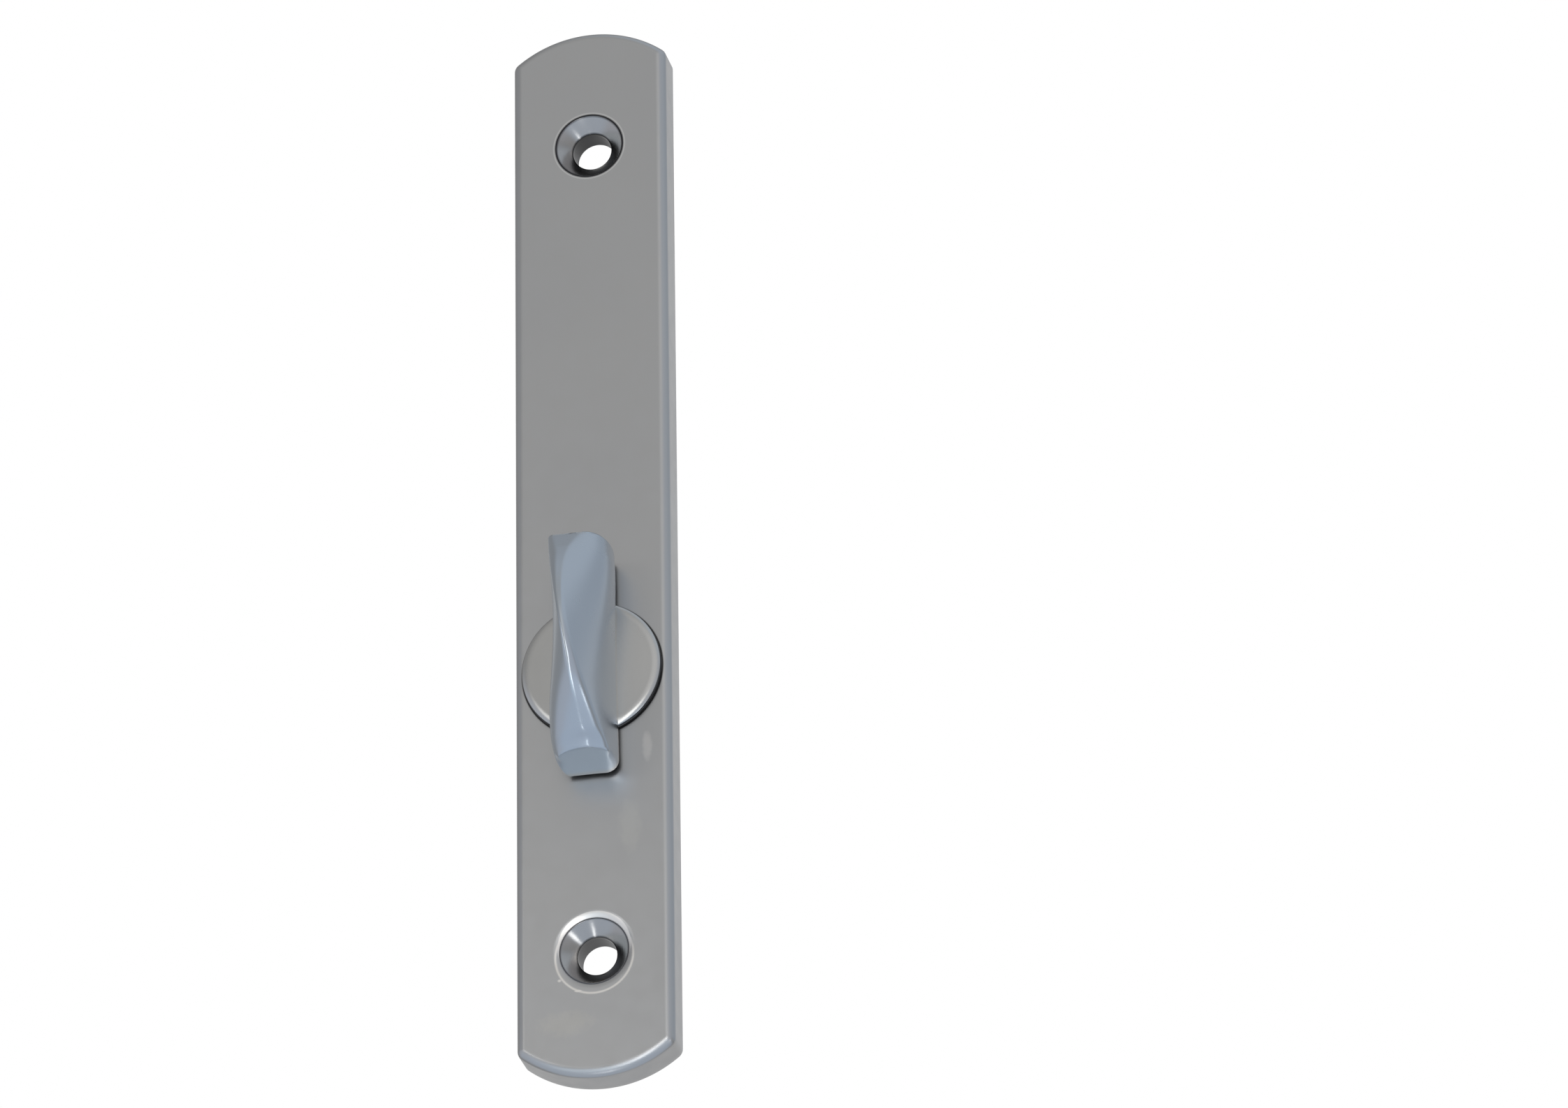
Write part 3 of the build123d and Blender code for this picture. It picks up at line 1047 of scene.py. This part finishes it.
def direction(azimuth, elevation):
    """Unit vector; azimuth 0 is in front of the plate and 90 to its right, in degrees."""
    a, e = radians(azimuth), radians(elevation)
    return Vector((sin(a) * cos(e), -cos(a) * cos(e), sin(e)))


# What surrounds the object: where each patch is, its full and its outer half angle, its colour
studio_base = (0.33, 0.332, 0.335)
studio_patches = (
    ("grey_right", 108, 28, 22, 48, (0.41, 0.45, 0.50)),
    ("sky_right", 58, 60, 22, 52, (0.52, 0.57, 0.63)),
    ("sky_ahead_right", 42, -2, 14, 34, (0.50, 0.52, 0.57)),
    ("grey_room_ahead", -10, 42, 14, 34, (0.45, 0.45, 0.445)),
    ("pale_room_ahead", 12, 22, 8, 27, (0.66, 0.66, 0.66)),
    ("sky_below_left", -66, -22, 28, 52, (0.52, 0.55, 0.61)),
    ("sky_below", 4, -74, 46, 70, (0.55, 0.62, 0.72)),
    ("pale_ahead_below", -13, -37, 15, 30, (0.78, 0.89, 1.0)),
)
pale_behind = (180, 5, 28, 50)
behind_share = 0.45
floor_in_metal = (0.55, 0.62, 0.72)


def facing_share(tree, place, where, azimuth, elevation, inner, outer, name):
    """Share from 0 to 1 of a soft round patch of the world, for the direction looked in."""
    towards = node_of(tree, "ShaderNodeVectorMath", place, operation="DOT_PRODUCT")
    towards.inputs[1].default_value = direction(azimuth, elevation)
    tree.links.new(where.outputs["Generated"], towards.inputs[0])
    share = node_of(
        tree, "ShaderNodeMapRange", (place[0] + 200, place[1]), interpolation_type="SMOOTHSTEP",
        label=name,
    )
    share.inputs["From Min"].default_value = cos(radians(outer))
    share.inputs["From Max"].default_value = cos(radians(inner))
    tree.links.new(towards.outputs["Value"], share.inputs["Value"])
    return share.outputs["Result"]


def metal_ray(tree, place, path):
    """1 for a ray that a shiny or a clear surface sent out, and 0 for any other."""
    glossy, clear = path.outputs["Is Glossy Ray"], path.outputs["Is Transmission Ray"]
    return calculated(tree, place, "MAXIMUM", glossy, clear)


def build_world():
    """White ground, which metal shows too but dimmer, and a plain grey room with pale patches."""
    world = bpy.data.worlds.new("studio")
    bpy.context.scene.world = world
    world.use_nodes = True
    tree = world.node_tree
    tree.nodes.clear()
    output = node_of(tree, "ShaderNodeOutputWorld", (1600, 0))
    where = node_of(tree, "ShaderNodeTexCoord", (-900, 0))
    colour = studio_base
    for row, (name, azimuth, elevation, inner, outer, tint) in enumerate(studio_patches):
        share = facing_share(
            tree, (-600, -300 * row), where, azimuth, elevation, inner, outer, name
        )
        colour = blended(tree, (-100 + 150 * row, -200 * row), share, colour, tint)
    room = node_of(tree, "ShaderNodeBackground", (1100, -100))
    tree.links.new(colour, room.inputs["Color"])
    ground = node_of(tree, "ShaderNodeBackground", (1100, -300))
    ground.inputs["Color"].default_value = (1, 1, 1, 1)
    path = node_of(tree, "ShaderNodeLightPath", (300, 400))
    behind = facing_share(tree, (100, 700), where, *pale_behind, "pale_behind")
    in_metal = calculated(tree, (700, 300), "MULTIPLY", metal_ray(tree, (500, 300), path), behind)
    dimmed = calculated(tree, (900, 300), "MULTIPLY", in_metal, behind_share)
    shown = calculated(tree, (1100, 300), "MAXIMUM", path.outputs["Is Camera Ray"], dimmed)
    either = node_of(tree, "ShaderNodeMixShader", (1350, 0))
    tree.links.new(shown, either.inputs[0])
    tree.links.new(room.outputs[0], either.inputs[1])
    tree.links.new(ground.outputs[0], either.inputs[2])
    tree.links.new(either.outputs[0], output.inputs["Surface"])


def build_lamp(name, place, aim, width, height, radiance, tint):
    """Soft oblong lamp that the camera doesn't see; its radiance is 1 where it looks white."""
    data = bpy.data.lights.new(name, "AREA")
    data.shape = "RECTANGLE"
    data.size, data.size_y = width, height
    data.energy = radiance * pi * width * height
    data.color = tint
    lamp = bpy.data.objects.new(name, data)
    lamp.location = place
    away = Vector(place) - Vector(aim)
    lamp.rotation_euler = away.to_track_quat("Z", "Y").to_euler()
    lamp.visible_camera = False
    bpy.context.scene.collection.objects.link(lamp)


def build_floor():
    """Plain pale floor, well below the camera."""
    bm = bmesh.new()
    bmesh.ops.create_grid(bm, x_segments=8, y_segments=8, size=2.5)
    mesh = bpy.data.meshes.new("floor")
    bm.to_mesh(mesh)
    bm.free()
    floor = bpy.data.objects.new("floor", mesh)
    floor.location = (0, 0, -3)
    bpy.context.scene.collection.objects.link(floor)
    material = bpy.data.materials.new("pale_floor")
    material.use_nodes = True
    tree = material.node_tree
    tree.nodes.clear()
    output = node_of(tree, "ShaderNodeOutputMaterial", (600, 0))
    shader = node_of(tree, "ShaderNodeBsdfPrincipled", (0, 0))
    shader.inputs["Base Color"].default_value = (0.85, 0.85, 0.85, 1)
    shader.inputs["Roughness"].default_value = 0.8
    path = node_of(tree, "ShaderNodeLightPath", (-400, 400))
    pale = calculated(tree, (0, 500), "MULTIPLY", path.outputs["Is Camera Ray"], 0.8)
    surface = shader
    for row, (share, colour) in enumerate((
        (pale, (1, 1, 1)), (metal_ray(tree, (0, 300), path), floor_in_metal),
    )):
        shown = node_of(tree, "ShaderNodeEmission", (0, -400 - 200 * row))
        shown.inputs["Color"].default_value = (*colour, 1)
        either = node_of(tree, "ShaderNodeMixShader", (250 + 150 * row, 0))
        tree.links.new(share, either.inputs[0])
        tree.links.new(surface.outputs[0], either.inputs[1])
        tree.links.new(shown.outputs[0], either.inputs[2])
        surface = either
    tree.links.new(either.outputs[0], output.inputs["Surface"])
    floor.data.materials.append(material)


def build_camera():
    """Camera at the photograph's view, turned a little off the object to frame it likewise."""
    target = Vector((0, -plate_depth, 0))
    place = target + direction(view_azimuth, view_elevation) * view_distance
    back = direction(view_azimuth + view_pan, view_elevation + view_tilt)
    turned = radians(view_azimuth + view_pan)
    level = Vector((cos(turned), sin(turned), 0))
    up = back.cross(level)
    roll = radians(view_roll)
    right = level * cos(roll) + up * sin(roll)
    up = up * cos(roll) - level * sin(roll)
    data = bpy.data.cameras.new("camera")
    data.sensor_width = 36
    data.lens = focal_pixels / image_width * data.sensor_width
    data.clip_start, data.clip_end = 0.01, 10
    camera = bpy.data.objects.new("camera", data)
    turn_to_view = Matrix((right, up, back)).transposed().to_4x4()
    camera.matrix_world = Matrix.Translation(place) @ turn_to_view
    bpy.context.scene.collection.objects.link(camera)
    bpy.context.scene.camera = camera


def dress(piece, material):
    """Gives an object one material, in its slots if it has them."""
    if not piece.material_slots:
        piece.data.materials.append(material)
    for slot in piece.material_slots:
        slot.material = material


plate = build_plate()
turn = build_turn()
steel = plated_steel_material()
spring = dark_spring_material()
dress(plate, satin_plate_material())
dress(turn, satin_turn_material())
for node, material in (
    ("spindle", steel), ("spindle_pin", steel), ("flat_washer", steel),
    ("curved_washer", spring), ("retaining_ring", spring),
):
    dress(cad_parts[node], material)
build_world()
build_floor()
build_lamp(
    "tall_window", (0.085, -0.45, -0.215), (0.085, 0, -0.215), 0.12, 0.47, 1.9, (1, 1, 0.99)
)
build_lamp("left_window", direction(-27, 3) * 0.5, (0, 0, 0), 0.12, 0.16, 1.2, (1, 0.995, 0.975))
build_lamp("low_window", direction(-12, -73) * 0.5, (0, 0, 0), 0.05, 0.12, 2, (0.97, 0.99, 1))
build_lamp("small_window", direction(60, -33) * 0.6, (0, 0, 0), 0.09, 0.09, 2.4, (0.97, 0.99, 1))
build_camera()
bpy.context.scene.view_settings.view_transform = "Standard"
